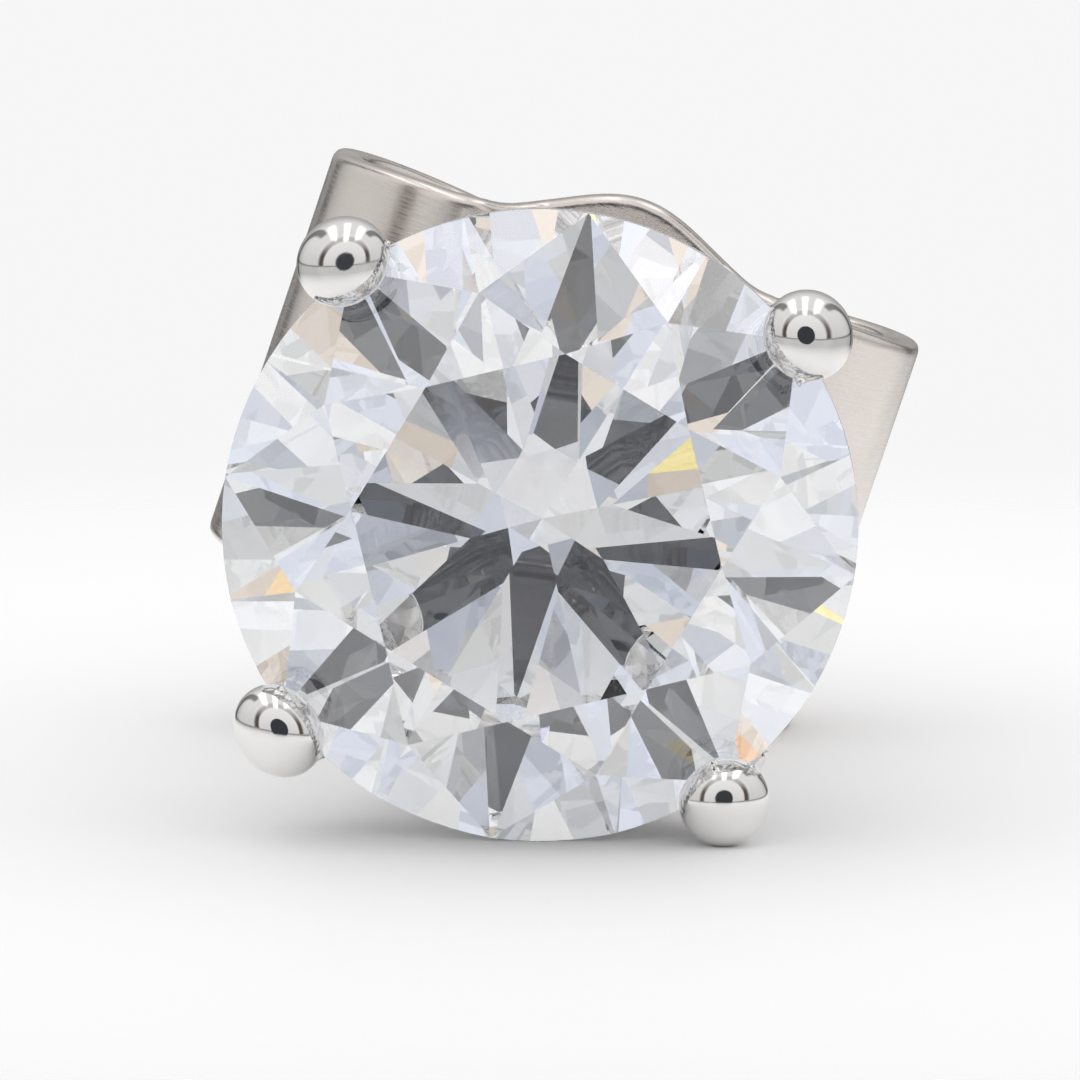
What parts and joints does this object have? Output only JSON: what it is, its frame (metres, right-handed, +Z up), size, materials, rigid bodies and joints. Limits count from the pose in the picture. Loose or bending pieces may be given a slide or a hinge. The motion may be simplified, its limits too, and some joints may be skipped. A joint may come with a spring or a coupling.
{
  "type": "diamond stud earring",
  "caption": "Round brilliant in a basket setting on a straight post, with a push-on butterfly back that slides on the post.",
  "frame": {"origin": "middle of the earring's box on the surface that it rests on, lying as it does by itself", "axes": "+Z up, the stone's table faces -Y and the post runs back towards +Y"},
  "size_m": [0.0078, 0.015, 0.0065],
  "materials": {
    "diamond": "polished",
    "white_gold": "polished",
    "warm_white_gold": "satin"
  },
  "bodies": {
    "stud": {"diamond": "diamond", "four_prong_setting": "white_gold"},
    "back": {"butterfly_back": "warm_white_gold"}
  },
  "joints": [
    {"name": "back_slide", "type": "slide", "parent": "stud", "child": "back", "axis": [0, 0.9999, -0.0117], "range_m": [-0.0021, 0.0072]}
  ]
}
